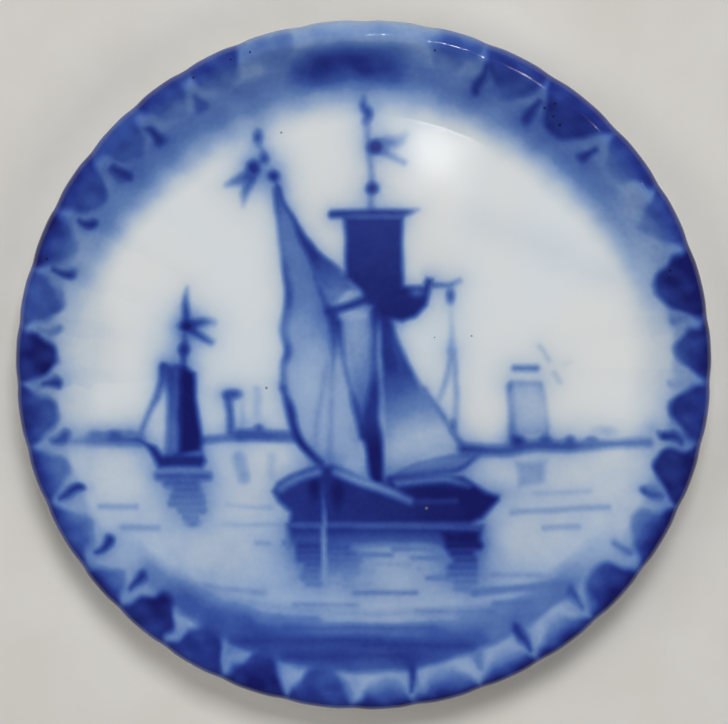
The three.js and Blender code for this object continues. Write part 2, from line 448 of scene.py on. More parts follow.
def paint_dashes(canvas):
    """The dashes, each wide and round at its inner end and narrowing to half outwards."""
    for azimuth, inner, outer, width, depth in DASHES:
        nearest_reach = np.clip(canvas.reach, inner, outer)
        beyond = (canvas.reach - nearest_reach) * OUTSIDE_RADIUS
        beside = np.radians(canvas.azimuth - azimuth) * canvas.reach * OUTSIDE_RADIUS
        taper = 1 - 0.5 * (nearest_reach - inner) / (outer - inner)
        half_width = math.radians(width) / 2 * OUTSIDE_RADIUS * taper
        canvas.apply(np.hypot(beyond, beside) - half_width, depth)


def paint_crown(canvas):
    """The dark band at the very top, paling to nearly white at the edge: partly thin paint, and partly
    painted light on the top of the outer wall.
    """
    azimuth = (canvas.azimuth + 180) % 360 - 180
    # The pale end of the crown is partly painted light, standing for light falling on the outer wall over
    # the top.
    paling = HALF - (HALF - FAINT) * smoothstep(0.91, 1.0, canvas.reach)
    near_top = 1 - smoothstep(7, 15, np.abs(azimuth + 2))
    canvas.lay(near_top * smoothstep(0.88, 0.90, canvas.reach), paling)
    dark = band(azimuth, -17, -8, 0, 13) * band(canvas.reach, 0.79, 0.87, 0.88, 0.955)
    canvas.lay(dark, brushed(canvas, DARK, wavelength=2.2))


# ---- The picture, in millimetres across and up from the middle of the plate ----

SHORE_LEVEL = -4.8
WATERLINE = -10.4
YARD_LEVEL = 10.0
COLUMN_STROKES = 7  # in each column of a reflection


def paint_water(canvas):
    """The pale wash over the water, and the broad level strokes along the bottom."""
    below_shore = 1 - smoothstep(SHORE_LEVEL - 2.2, SHORE_LEVEL, canvas.y)
    canvas.lay(below_shore, FAINT + FAINT * smoothstep(-8, -14, canvas.y))
    canvas.stroke([(-12, -13.4), (-6, -14.4), (0, -15), (9, -14.6)], 0.5, PALE, bleed=1.4)
    canvas.stroke([(-10.5, -15), (-5, -15.9), (1, -16.3), (8, -15.9)], 0.5, SOFT, bleed=1.2)


def paint_sky(canvas):
    """Faint drifts of cloud."""
    canvas.stroke([(7.6, 9.4), (10.2, 8.4), (12.6, 7.4)], 2, FAINT / 2, bleed=3)
    canvas.stroke([(14.6, 6.4), (17.2, 5.2)], 1.8, FAINT / 2, bleed=3)
    canvas.stroke([(-19, 5), (-17.5, 2.5), (-17.5, 0)], 2.2, FAINT, bleed=3)


def paint_masthead(canvas):
    """The main topmast with its vane, flag and ball."""
    canvas.stroke([(0.2, 16), (0.3, 14.5), (0.5, 12.5), (0.5, 10.2)], 0.45, SOFT)
    vane = [(0, 17.5), (0, 16.9), (0.3, 16.4), (0.1, 15.9)]
    canvas.stroke(vane, (0.3, 0.5, 0.7, 0.5), (HALF, DEEP, DEEP, HALF))
    canvas.dab((0.8, 14.3), (1.2, 1.1), DARK)
    canvas.stroke([(1.3, 14.5), (2.2, 14.6), (2.7, 15)], (0.8, 0.8, 0.5), (HALF, SOFT, PALE), bleed=0.9)
    canvas.stroke([(1.3, 14), (2, 13.6), (2.6, 13.3)], (0.6, 0.5, 0.4), (HALF, SOFT, SOFT))
    canvas.dab((0.55, 11.6), (0.9, 0.8), DARK)


def paint_square_sail(canvas):
    """The dark square sail on its yard, and the sail furled under its right corner."""
    yard = [(-2, YARD_LEVEL - 0.1), (0, YARD_LEVEL), (2.5, YARD_LEVEL), (3.5, YARD_LEVEL + 0.2)]
    canvas.stroke(yard, (0.6, 0.5, 0.5, 0.3), (DARK, DARK, DARK, SOFT))
    sail = [(-1.3, 9.8), (2.6, 9.8), (2.6, 4), (0.3, 4), (-0.3, 5), (-1.2, 5.8)]
    canvas.patch(sail, canvas.fade((0.7, 9, DARK), (0.7, 5, DARK + 0.06)))
    furled = [
        (2.5, 5.3), (3.9, 5.3), (4.1, 5.8), (4.5, 5.7), (4.1, 4), (3.4, 3.2), (2.5, 2.9), (1, 3.2),
        (0.5, 4.2),
    ]
    canvas.patch(furled, DARK + 0.08)
    canvas.dab((3.5, 4.85), (0.6, 0.35), HALF, lift=True)
    canvas.stroke([(4.5, 5.3), (5.5, 5.3), (6.2, 5.6)], 0.36, (DEEP, HALF, SOFT))
    canvas.dab((5.6, 4.6), (0.6, 1), DEEP)


def paint_ropes(canvas):
    """The sheet hanging from the spar, which splits in two."""
    canvas.stroke([(5.7, 3.8), (5.7, 1)], (0.3, 0.55), (FAINT, SOFT))
    canvas.stroke([(5.7, 1), (5.4, -0.8), (4.9, -2.2)], 0.42, (SOFT, SOFT, PALE))
    canvas.stroke([(5.8, 1), (6, -1), (6, -4)], 0.42, (SOFT, SOFT, PALE))
    canvas.dab((5.8, -3.9), (0.5, 0.9), DEEP)


def paint_jib(canvas):
    """The tall pale sail on the left, dark along its stay and its foot."""
    outline = [
        (-5.7, 12.3), (-5.3, 9), (-4.9, 5), (-5.2, 2.2), (-5.1, -1), (-4.5, -4), (-3, -6.3),
        (-2.1, -6.3), (-2, 4), (-0.8, 5.2), (-1.3, 6.2), (-3, 7.6), (-4.3, 9.4),
    ]
    canvas.patch(outline, canvas.fade((-4, 6, HALF - 0.06), (-4, -1, 2 * FAINT)))
    leech = [(-5.6, 11.5), (-5.2, 8), (-5, 6), (-4.8, 4.5), (-5.2, 2.3), (-4.9, 1), (-5.2, 0), (-5.2, -1.4)]
    canvas.stroke(leech, 0.6, (DEEP, HALF, DEEP, DEEP, HALF, DEEP, HALF, HALF))
    foot = [(-5.2, -1.4), (-4.8, -2.8), (-4.5, -4), (-4, -5.1), (-2.8, -6.3)]
    canvas.stroke(foot, (0.4, 0.7, 0.7, 0.6, 0.6), (DEEP, DARK, DARK, INK, DARK))
    stay = [
        (-5.8, 12.2), (-5, 10.6), (-4.3, 9.4), (-3, 7.6), (-1.3, 6.2), (-0.5, 5), (-2.7, 5),
        (-3.4, 6.4), (-4.4, 8.8),
    ]
    canvas.patch(stay, canvas.fade((-3.4, 7, DARK), (-1.8, 5, HALF)))
    canvas.stroke([(-3.1, 5.8), (-2.7, 4.6), (-2.3, 3.7)], 0.4, DEEP)
    canvas.stroke([(-2.3, 3.6), (-1.2, 3.9), (0.2, 4.4)], 0.6, DARK)


def paint_foresails(canvas):
    """The narrow sails between the jib and the mast, with their ropes."""
    behind = [(-1.7, 3.2), (0.5, 3.2), (0.8, -1), (0.3, -4), (-0.7, -1.2)]
    canvas.patch(behind, canvas.fade((0, 2, PALE), (0, -2.5, HALF)))
    canvas.patch([(-2.1, 2), (-1.2, 0), (0, -6.3), (-3, -6.3), (-2.5, -2)], 2 * FAINT)
    stay = [(-2, 3.3), (-1.9, 2), (-2, 0.6), (-2.1, -1)]
    canvas.stroke(stay, (0.8, 0.7, 0.5, 0.3), (DARK, DEEP, HALF, SOFT))
    canvas.stroke([(-2.1, -0.8), (-2.2, -6.2)], 0.4, SOFT)
    canvas.stroke([(-2.3, 0.6), (-2.6, -1.2), (-3, -3.4), (-3.2, -5.6)], 0.45, SOFT)
    luff = [(-1.7, 2.8), (-1.3, 0.5), (-0.9, -1), (-0.5, -2.4), (0.1, -4.5)]
    canvas.stroke(luff, (0.7, 0.5, 0.5, 0.7, 0.8), (DARK, HALF, HALF, DEEP, DARK))


def paint_mainsail(canvas):
    """The big sail on the right: dark at the mast, and fading out to its edge and its foot."""
    outline = [(1.2, 3.2), (1.9, 2.8), (2.9, 0.4), (4, -1.6), (6.4, -5.2), (4.5, -5.9), (1.4, -7), (1.1, 0)]
    canvas.patch(outline, canvas.fade((2.1, -0.7, DEEP + 0.05), (3.5, -4.6, 2 * FAINT)))
    luff = [(1.4, 3), (1.5, 1.4), (1.8, 0), (2, -1.2), (1.9, -2.6)]
    canvas.stroke(luff, (0.8, 0.8, 1, 0.9, 0.5), (DARK, DARK, DARK, DEEP, HALF), bleed=0.7)
    canvas.stroke([(3.9, -1.5), (4.9, -2.9), (5.7, -4.1), (6.4, -5.2)], 0.45, (HALF, HALF, HALF, DEEP))


def paint_mainmast(canvas):
    """The mast, darkest and widest at its foot."""
    line = [(0.8, 3.6), (0.7, 2), (0.7, 0), (0.7, -1.5), (0.5, -3.5), (0.7, -5.4), (0.9, -7.4)]
    canvas.stroke(line, (0.8, 0.6, 0.6, 0.8, 1.2, 1.2, 1), (DARK, DEEP, DEEP, DARK, DARK, INK, INK))
    canvas.stroke([(1.2, -0.6), (1.3, -3.4)], 0.16, DEEP - 0.08, bleed=0.4, lift=True)


def paint_boom(canvas):
    """The strokes of the boom and the furled sail along the deck."""
    canvas.patch([(1.5, -7.5), (2.8, -6.7), (4.6, -6.1), (6.8, -5.9), (6.2, -6.8), (3.6, -7.2)], HALF - 0.08)
    canvas.stroke([(1.6, -7.4), (2.8, -6.7), (4.6, -6.1), (6.8, -5.8)], 0.3, (DEEP, HALF, HALF, DEEP))
    lower_edge = [(1.7, -7.4), (3.4, -7.1), (5.2, -6.9), (6.3, -6.7), (7.4, -5.8)]
    canvas.stroke(lower_edge, 0.34, (DARK, DEEP, DEEP, DARK, DEEP))


def paint_hull(canvas):
    """The barge's dark hull, with paler strips along its gunwale, its stem and its cockpit."""
    side = [
        (-6, -8.2), (-5.6, -7.6), (-4.8, -7.1), (-2.9, -6.4), (-2, -6.4), (0.8, -7.7), (3, -7.2),
        (5, -7.1), (6.5, -7.2), (8, -8.2), (8.8, -8.5), (8.8, -8.8), (7.8, -10), (7, WATERLINE),
        (-4.9, WATERLINE), (-4.8, -9.6), (-5.6, -8.9),
    ]
    canvas.patch(side, canvas.fade((-3, -9, DARK), (7, -9, INK)))
    canvas.dab((-3.2, -8), (0.9, 1.6), INK)
    canvas.dab((-1.7, -8.4), (0.9, 2.2), INK)
    gunwale = [(-1.8, -6.9), (-0.6, -7.4), (1.6, -8.2), (3, -8.8)]
    stem = [(-2.6, -7.8), (-2.6, -9), (-2.5, WATERLINE)]
    cockpit = [(2.2, -7.7), (3.8, -7.5), (5.4, -7.4), (6.8, -7.8)]
    canvas.stroke([(-5.4, -8), (-4.4, -7.4), (-3, -6.9)], 0.5, HALF, bleed=0.6, lift=True)
    canvas.stroke(gunwale, 0.5, (HALF, SOFT, SOFT, HALF), bleed=0.6, lift=True)
    canvas.stroke(stem, (0.2, 0.3, 0.34), (DARK, DEEP, HALF), bleed=0.3, lift=True)
    canvas.stroke(cockpit, 0.42, (HALF, HALF, HALF, DEEP), bleed=0.55, lift=True)
    canvas.stroke([(3, -8.9), (6, -8.8)], 0.24, DARK - 0.04, bleed=0.5, lift=True)
    canvas.dab((5.2, -8.3), (4, 0.6), INK)


def paint_waterline(canvas):
    """The pale line that the hull stands on, running out to the left."""
    canvas.stroke([(-11, WATERLINE), (-5, WATERLINE)], 0.22, (PALE, SOFT))
    under_hull = [(-4.8, WATERLINE), (2, WATERLINE - 0.1), (7.5, WATERLINE - 0.3)]
    canvas.stroke(under_hull, 0.14, DEEP, bleed=0.3, lift=True)


def broken_column(canvas, top, foot, widths, depths):
    """A reflection that breaks up, on its way down, into thinner level strokes that sway sideways."""
    for index in range(COLUMN_STROKES):
        down = index / (COLUMN_STROKES - 1)
        ranges = (*zip(top, foot), widths, depths)
        x, y, width, depth = (first + (last - first) * down for first, last in ranges)
        x += 0.15 * math.sin(4 * index + top[0])
        width *= 1 + 0.35 * math.sin(5 * index + top[0])
        canvas.stroke([(x - width / 2, y), (x + width / 2, y)], 0.64 - 0.3 * down, depth, bleed=0.8)


def paint_barge_reflection(canvas):
    """The hull's reflection: a dark band, breaking up below into three columns."""
    hull = [(-5, WATERLINE), (7.8, WATERLINE), (7.6, -11.8), (-4.9, -11.9)]
    canvas.patch(hull, canvas.fade((0, -10.7, DARK), (0, -11.8, HALF)), bleed=0.9)
    canvas.patch([(-0.8, -11.7), (5.2, -11.7), (4.6, -12.8), (-0.4, -12.8)], 2 * FAINT, bleed=0.9)
    canvas.patch([(5, -10.8), (7.6, -10.8), (7.5, -11.8), (5.4, -11.7)], INK)
    broken_column(canvas, (-3.4, -11.8), (-3.4, -14.3), (1.4, 0.6), (DARK, HALF))
    broken_column(canvas, (-1.5, -11.9), (-0.8, -14.4), (1.7, 0.6), (DEEP, SOFT))
    broken_column(canvas, (6.5, -11.8), (6.5, -14.6), (1.8, 1.0), (INK, HALF))
    canvas.stroke([(-2.6, WATERLINE - 0.2), (-2.5, -14)], 0.36, SOFT, bleed=0.4, lift=True)
    rows = [
        (-5.2, -4.4, -11.6, HALF), (-5, -4.3, -13.2, SOFT), (-0.5, 1.8, -12.4, HALF),
        (3.2, 5.4, -12.6, HALF), (2, 4.6, -12, HALF), (0.6, 3, -13, SOFT), (3.6, 5.6, -13.3, SOFT),
        (-1.8, 0.4, -14.3, SOFT), (-0.8, 0.6, -13.5, SOFT), (4.2, 5.8, -13.9, HALF),
        (-0.5, 3.4, -14.9, HALF),
    ]
    level_strokes(canvas, rows, thickness=0.3)


def paint_pennant(canvas):
    """The vane and the streamer at the jib's head."""
    canvas.stroke([(-7.5, 16.8), (-7.2, 15.6)], 0.36, PALE)
    canvas.dab((-6.8, 14.9), (0.7, 1.1), DEEP)
    canvas.stroke([(-6.7, 14.4), (-6.4, 13.8)], 0.36, SOFT)
    canvas.dab((-6.4, 13.5), (0.7, 0.7), DEEP)
    canvas.dab((-7.1, 12.9), (1, 1.1), DARK)
    canvas.stroke([(-7.4, 12.4), (-8.1, 12.1), (-8.8, 11.8)], (0.8, 0.7, 0.4), (DEEP, HALF, SOFT))
    canvas.stroke([(-7.3, 12.2), (-7.6, 11.4), (-7.8, 10.5)], (0.7, 0.6, 0.4), (DEEP, HALF, PALE))
    canvas.dab((-5.8, 12.4), (0.8, 0.8), DARK)


def paint_small_boat(canvas):
    """The far boat on the left, with its mast, flag and reflection."""
    canvas.stroke([(-11.4, 5.1), (-11.5, 4), (-11.5, 2.6)], (0.3, 0.5, 0.5), (SOFT, DEEP, DARK))
    canvas.stroke([(-11.6, 2), (-11.7, 0)], 0.45, (HALF, DARK))
    canvas.dab((-11.4, 2.65), (1.1, 0.8), INK)
    canvas.dab((-11.65, 1.1), (0.8, 0.9), DARK)
    canvas.stroke([(-11, 2.8), (-10.4, 2.9), (-9.8, 2.9)], 0.55, (DARK, DEEP, SOFT))
    canvas.stroke([(-11, 2.3), (-10.4, 1.9), (-9.9, 1.6)], 0.5, (DARK, DEEP, HALF))
    inner_sail = [(-13, 0.2), (-12, 0.1), (-12.1, -6), (-13, -6), (-12.8, -3)]
    canvas.patch(inner_sail, canvas.fade((0, -0.5, DARK - 0.06), (0, -4, HALF)))
    sail = [
        (-12.2, 0.1), (-11.4, 0), (-10.9, -0.4), (-10.8, -2), (-10.4, -5), (-10.5, -5.6), (-12.2, -6),
    ]
    canvas.patch(sail, canvas.fade((-12.2, 0, DARK), (-11.6, 0, INK)))
    leech = [(-13, 0), (-13.1, -1.2), (-14, -3.2), (-14.6, -4.8)]
    canvas.stroke(leech, (0.5, 0.5, 0.4, 0.4), (DARK, DEEP, HALF, HALF))
    hull = [
        (-14.4, -4.9), (-13.5, -5.2), (-13, -5.8), (-10.4, -5.7), (-10.2, -6.2), (-10.5, -6.7),
        (-13.3, -6.7),
    ]
    canvas.patch(hull, DARK + 0.06)
    broken_column(canvas, (-11.8, -7.2), (-11.2, -9.9), (2.5, 1.0), (DEEP, HALF))
    canvas.dab((-11.1, -10.3), (0.9, 0.5), HALF)


def paint_left_shore(canvas):
    """The low far shore on the left, with a tower, a pale post and bushes."""
    near_bank = [(-18.8, SHORE_LEVEL), (-17.2, SHORE_LEVEL), (-14.6, SHORE_LEVEL)]
    canvas.stroke(near_bank, (0.5, 0.8, 0.8), (SOFT, HALF, DEEP), bleed=1)
    for x, depth in ((-17.4, HALF), (-16.2, DEEP), (-15.2, HALF)):
        canvas.dab((x, -4.5), (1.1, 0.7), depth, bleed=0.8)
    canvas.stroke([(-10.3, SHORE_LEVEL), (-8, -4.6)], 0.6, HALF)
    canvas.stroke([(-8, -4.5), (-6.6, -4.5), (-4.7, -4.6)], 0.9, (DEEP, DEEP, HALF))
    canvas.dab((-6.8, -4), (0.6, 0.5), DEEP)
    canvas.dab((-8.5, -1.8), (1.2, 0.7), DEEP)
    canvas.stroke([(-8.8, -1.9), (-8.6, -4.3)], 0.55, DEEP)
    canvas.stroke([(-7.9, -2.2), (-7.8, -4.1)], 0.3, (PALE, SOFT))
    canvas.stroke([(-6.9, -1.5), (-6.9, -3.9)], 0.6, PALE)
    canvas.stroke([(-8.1, -6), (-7.8, -7.3)], 0.9, SOFT - 0.06)
    canvas.stroke([(-6, -5.9), (-6, -7)], 0.6, 2 * FAINT)


def paint_windmill(canvas):
    """The windmill on the right: a pale tower, a dark cap, and sails of single dabs."""
    canvas.stroke([(9.8, -0.1), (11.2, -0.1)], 0.5, HALF)
    canvas.patch([(9.4, -1), (11.6, -1), (11.9, -4.6), (9.4, -4.6)], 2 * FAINT)
    canvas.stroke([(9.6, -1.1), (11.4, -1.1)], 0.4, SOFT)
    canvas.stroke([(9.5, -1.3), (9.6, -2.6), (9.7, -4.6)], 0.5, (HALF, SOFT, HALF))
    canvas.stroke([(11.5, -1.3), (11.8, -2.8), (11.9, -4.6)], 0.4, (SOFT, PALE, SOFT))
    canvas.stroke([(11.4, 1.3), (12, 0.4)], 0.34, PALE)
    canvas.stroke([(13, 0.1), (13.4, 0.3)], 0.34, FAINT)
    canvas.stroke([(12.4, -0.4), (12.7, -1)], 0.34, PALE)
    canvas.patch([(9.9, -6.2), (11.9, -6.2), (11.8, -7.6), (10.1, -7.9)], SOFT - 0.06)


def paint_right_shore(canvas):
    """The far shore on the right, darkest by the barge, with bushes and a faint hill."""
    shore = [(6.5, -5.4), (9, -5.5), (11, -5.2), (13, -5.2), (15.5, -5.1), (18.5, -4.9)]
    canvas.stroke(shore, (0.8, 0.8, 0.8, 0.8, 0.7, 0.6), (DARK, DEEP, DEEP, DEEP, HALF, HALF), bleed=0.95)
    for x, width, depth in ((10, 1.1, DARK), (11.8, 0.9, DEEP), (13.4, 0.7, DEEP), (14.8, 0.8, HALF)):
        canvas.dab((x, SHORE_LEVEL - 0.1), (width, 0.8), depth)
    canvas.dab((15.6, -4.3), (1.8, 0.8), PALE, bleed=0.8)


def paint_ripples(canvas):
    """Single strokes over the water, level or nearly so."""
    for start, end, width, depth in (
        ((-17.1, -9.1), (-14.8, -9.2), 0.36, SOFT),
        ((-15.7, -10.5), (-13.4, -10.6), 0.4, SOFT),
        ((-8.8, -9.1), (-6, -9.3), 0.3, PALE),
        ((-7, -11.6), (-6.2, -11.6), 0.3, SOFT),
        ((11.2, -8.3), (14.7, -8.2), 0.3, PALE),
        ((9.7, -9.6), (15.9, -9.2), 0.36, SOFT),
        ((11.8, -10.6), (13.9, -10.5), 0.36, SOFT),
        ((16.3, -11.5), (17.3, -12), 0.4, HALF),
        ((8.4, -13.7), (11.6, -13.7), 0.34, SOFT),
        ((7.2, -14.9), (13.5, -14.2), 0.5, HALF),
        ((8.6, -15.6), (10.8, -15.5), 0.5, HALF),
        ((-12.8, -14.2), (-6.5, -14.9), 0.5, SOFT),
    ):
        canvas.stroke([start, end], width, depth, bleed=0.7)


def paint_picture(canvas):
    """The whole picture, from the far things to the near ones."""
    for paint_part in (
        paint_sky, paint_water, paint_left_shore, paint_windmill, paint_right_shore, paint_ripples,
        paint_small_boat, paint_pennant, paint_masthead, paint_ropes, paint_jib, paint_foresails,
        paint_mainsail, paint_mainmast, paint_square_sail, paint_boom, paint_barge_reflection,
        paint_hull, paint_waterline,
    ):
        paint_part(canvas)


def paint_plate(x, y, reach):
    """The amount of cobalt at each point of the plate's upper side."""
    canvas = Canvas(x, y, reach)
    paint_border_wash(canvas)
    paint_near_water(canvas)
    paint_picture(canvas)
    paint_petals(canvas)
    paint_crown(canvas)
    paint_dashes(canvas)
    return np.clip(canvas.cobalt, 0, 1)


# ---- The meshes ----


def arc(centre_radius, centre_z, half_width, half_height, start, end, steps):
    """Points of the section along an elliptical arc, between two angles in degrees."""
    angles = np.radians(np.linspace(start, end, steps + 1))
    radii = centre_radius + half_width * np.cos(angles)
    heights = centre_z + half_height * np.sin(angles)
    return list(zip(radii, heights))


def hollow_circle(radius):
    """The circle of a radius about the centre of the hollow curve, for an arc of it."""
    return FLOOR_RADIUS, HOLLOW_CENTRE_Z, radius, radius


def rim_section(inset, steps):
    """The section from the top of the hollow curve, over the crest, to the start of the underside."""
    lean = math.degrees(WALL_LEAN)
    crest = CREST_HALF_WIDTH - inset
    turn = TURN_UNDER_RADIUS - inset
    hollow_end = arc(*hollow_circle(HOLLOW_RADIUS + inset), lean - 90, lean - 90, 0)[0]
    top = arc(CREST_RADIUS, TOTAL_HEIGHT - CREST_HALF_WIDTH, crest, crest, 90 + lean, 90, steps)
    wall = [tuple(point) for point in np.linspace(hollow_end, top[0], steps + 2)[:-1]]
    edge = arc(CREST_RADIUS, EDGE_Z, crest, EDGE_HEIGHT - inset, 90, 0, 2 * steps)[1:]
    under = arc(OUTSIDE_RADIUS - TURN_UNDER_RADIUS, EDGE_Z, turn, turn, 0, lean - 90, steps)[1:]
    return wall + top + edge + under


def hollow_height(radius):
    """The height of the dish's face, up to the top of the hollow curve."""
    beyond = max(radius - FLOOR_RADIUS, 0)
    return HOLLOW_CENTRE_Z - math.sqrt(HOLLOW_RADIUS**2 - beyond**2)


def glaze_rows():
    """The rings of the glaze coat: over the face, the rim and the underside, and back inside it."""
    lean = math.degrees(WALL_LEAN)
    hollow_end = FLOOR_RADIUS + HOLLOW_RADIUS * math.sin(WALL_LEAN)
    rows = []
    for ring in range(FACE_RINGS):
        radius = hollow_end * ring / FACE_RINGS
        rows.append((radius, hollow_height(radius), max(6 * ring, 1)))
    rows += [(*point, RIM_COUNT) for point in rim_section(0, RIM_STEPS)]
    fillet_radius = FOOT_OUTER_RADIUS + GLAZE_THICKNESS + FOOT_FILLET
    fillet = (fillet_radius, UNDERSIDE_Z - FOOT_FILLET, -FOOT_FILLET, FOOT_FILLET)
    bottom = (FOOT_OUTER_RADIUS, BARE_EDGE_HEIGHT + GLAZE_THICKNESS, GLAZE_THICKNESS, GLAZE_THICKNESS)
    under = arc(*hollow_circle(UNDERSIDE_RADIUS), lean - 90, -90, UNDERSIDE_STEPS)
    under.append(((FLOOR_RADIUS + fillet_radius) / 2, UNDERSIDE_Z))
    under += arc(*fillet, 90, 0, FILLET_STEPS)
    under += arc(*bottom, 0, -90, GLAZE_END_STEPS)
    rows += [(*point, UNDERSIDE_COUNT) for point in under]
    inside = [(FOOT_OUTER_RADIUS, FOOT_TOP_Z)]
    inside += arc(*hollow_circle(UNDERSIDE_RADIUS - GLAZE_THICKNESS), -90, lean - 90, HIDDEN_STEPS)
    inside += reversed(rim_section(GLAZE_THICKNESS, HIDDEN_RIM_STEPS))
    inside += arc(*hollow_circle(HOLLOW_RADIUS + GLAZE_THICKNESS), lean - 90, -90, HIDDEN_STEPS)[1:]
    rows += [(*point, HIDDEN_COUNT) for point in inside]
    rows.append((0, FLOOR_Z - GLAZE_THICKNESS, 1))
    return rows


def recess_rows():
    """The rings of the glaze inside the foot: from its top, down the foot and over its ceiling."""
    fillet_radius = FOOT_INNER_RADIUS - GLAZE_THICKNESS - FOOT_FILLET
    fillet = (fillet_radius, UNDERSIDE_Z - FOOT_FILLET, FOOT_FILLET, FOOT_FILLET)
    bottom = (FOOT_INNER_RADIUS, BARE_EDGE_HEIGHT + GLAZE_THICKNESS, -GLAZE_THICKNESS, GLAZE_THICKNESS)
    surface = [(FOOT_INNER_RADIUS, FOOT_TOP_Z)]
    surface += arc(*bottom, -90, 0, GLAZE_END_STEPS)
    surface += arc(*fillet, 0, 90, FILLET_STEPS)
    for ring in range(RECESS_RINGS - 1, 0, -1):
        surface.append((fillet_radius * ring / RECESS_RINGS, UNDERSIDE_Z))
    rings = [(*point, UNDERSIDE_COUNT) for point in surface]
    return [(0, FOOT_TOP_Z, 1), *rings, (0, UNDERSIDE_Z, 1)]


def foot_rows():
    """The rings of the foot, around its section."""
    rounding = FOOT_EDGE_ROUNDING
    section = [(FOOT_INNER_RADIUS, FOOT_TOP_Z), (FOOT_OUTER_RADIUS, FOOT_TOP_Z)]
    for radius, start in ((FOOT_OUTER_RADIUS - rounding, 0), (FOOT_INNER_RADIUS + rounding, -90)):
        corner = (radius, BARE_EDGE_HEIGHT, rounding, BARE_EDGE_HEIGHT)
        section += arc(*corner, start, start - 90, FILLET_STEPS)
    return [(*point, UNDERSIDE_COUNT) for point in section]


def stitch(first, second):
    """The triangles between two rings, each given as its first vertex and its number of vertices."""
    (first_start, first_count), (second_start, second_count) = first, second
    first_steps = first_count if first_count > 1 else 0
    second_steps = second_count if second_count > 1 else 0
    triangles = []
    i = j = 0
    while i < first_steps or j < second_steps:
        here = first_start + i % first_count
        there = second_start + j % second_count
        first_is_behind = (i + 1) * second_count <= (j + 1) * first_count
        if i < first_steps and (first_is_behind or j == second_steps):
            triangles.append((here, first_start + (i + 1) % first_count, there))
            i += 1
        else:
            triangles.append((here, second_start + (j + 1) % second_count, there))
            j += 1
    return triangles


class Shell:
    """A closed mesh turned about the plate's axis from rows of (radius, height, vertex count)."""

    def __init__(self, rows, closed=False):
        starts = np.cumsum([0] + [count for _, _, count in rows])
        self.triangles = []
        rings = [(start, count) for start, (_, _, count) in zip(starts, rows)]
        following = rings[1:] + rings[:1] if closed else rings[1:]
        for first, second in zip(rings, following):
            self.triangles += stitch(first, second)
        self.angle = np.concatenate([np.arange(count) * 2 * math.pi / count for _, _, count in rows])
        self.row = np.repeat(np.arange(len(rows)), [count for _, _, count in rows])
        self.radii, self.heights = np.array([row[:2] for row in rows]).T
        self.radius = self.radii[self.row]
        self.height = self.heights[self.row]
        self.azimuth = np.degrees(self.angle)
        self.x = self.radius * np.sin(self.angle)
        self.y = self.radius * np.cos(self.angle)

    def notch(self):
        """Draws the vertices near the edge inwards where the petals meet."""
        fade = smoothstep(NOTCHES_START_RADIUS, OUTSIDE_RADIUS, self.radius)
        depth = NOTCH_DEPTH * fade * gap_wave(self.azimuth) ** NOTCH_SHARPNESS
        factor = 1 - depth / np.maximum(self.radius, 1)
        self.x *= factor
        self.y *= factor

    def raise_surface(self, amount):
        """Moves every vertex along its section's normal by its own amount."""
        along_radius = np.gradient(self.radii)
        along_height = np.gradient(self.heights)
        length = np.hypot(along_radius, along_height)
        outward = (-along_height / length)[self.row] * amount
        self.x += outward * np.sin(self.angle)
        self.y += outward * np.cos(self.angle)
        self.height = self.height + (along_radius / length)[self.row] * amount

    def make(self, name, material, **attributes):
        """The mesh as an object, smooth shaded, with one number for each vertex in each attribute."""
        mesh = bpy.data.meshes.new(name)
        vertices = np.stack([self.x, self.y, self.height], axis=1) * MM
        mesh.from_pydata(vertices.tolist(), [], self.triangles)
        mesh.polygons.foreach_set("use_smooth", [True] * len(mesh.polygons))
        for key, values in attributes.items():
            layer = mesh.attributes.new(key, "FLOAT", "POINT")
            layer.data.foreach_set("value", values.astype(np.float32))
        mesh.materials.append(material)
        piece = bpy.data.objects.new(name, mesh)
        bpy.context.scene.collection.objects.link(piece)
        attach(piece, "root")
        return piece


def gap_wave(azimuth):
    """1 where two petals meet, and 0 in the middle of a petal."""
    phase = np.interp(azimuth % 360, GAPS, np.arange(len(GAPS)))
    return (1 + np.cos(2 * math.pi * phase)) / 2


def glaze_relief(shell, reach):
    """How far the glaze stands up: ridges between the petals, and the unevenness of a hand-made dish."""
    ridge = band(reach, 0.86, 0.95, 1.0, 1.06)
    relief = RIDGE_HEIGHT * ridge * gap_wave(shell.azimuth) ** 2
    rim = RIM_UNEVENNESS * smoothstep(0.9, 1.0, reach)
    relief += rim * ripple_field(shell.x, shell.y, seed=11, wavelength=9)
    relief += FACE_UNEVENNESS * ripple_field(shell.x, shell.y, seed=12, wavelength=5)
    return relief * (1 - smoothstep(1.06, 1.12, reach))


def glaze_piece():
    """The outer glaze, with its painting. Past the widest ring, reach goes on along the section."""
    shell = Shell(glaze_rows())
    widest = int(np.argmax(shell.radii))
    steps = np.hypot(np.diff(shell.radii), np.diff(shell.heights))
    row_reach = shell.radii / OUTSIDE_RADIUS
    row_reach[widest:] = 1 + np.concatenate([[0], np.cumsum(steps[widest:])]) / OUTSIDE_RADIUS
    reach = row_reach[shell.row]
    painted = reach < PAINT_END_REACH + PAINT_END_FADE
    cobalt = np.zeros(len(reach))
    cobalt[painted] = paint_plate(shell.x[painted], shell.y[painted], reach[painted])
    cobalt *= 1 - smoothstep(PAINT_END_REACH - PAINT_END_FADE, PAINT_END_REACH + PAINT_END_FADE, reach)
    relief = glaze_relief(shell, reach)
    shell.notch()
    shell.raise_surface(relief)
    piece = shell.make("glaze_coat", painted_glaze(), cobalt=cobalt)
    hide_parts("outer_glaze")


def recess_piece():
    """The glaze inside the foot ring."""
    piece = Shell(recess_rows()).make("recess_coat", clear_glaze())
    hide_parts("recess_glaze")


def foot_piece():
    """The foot ring, with its bare edge."""
    piece = Shell(foot_rows(), closed=True).make("foot", biscuit())
    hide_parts("foot_ring")


# ---- The materials ----


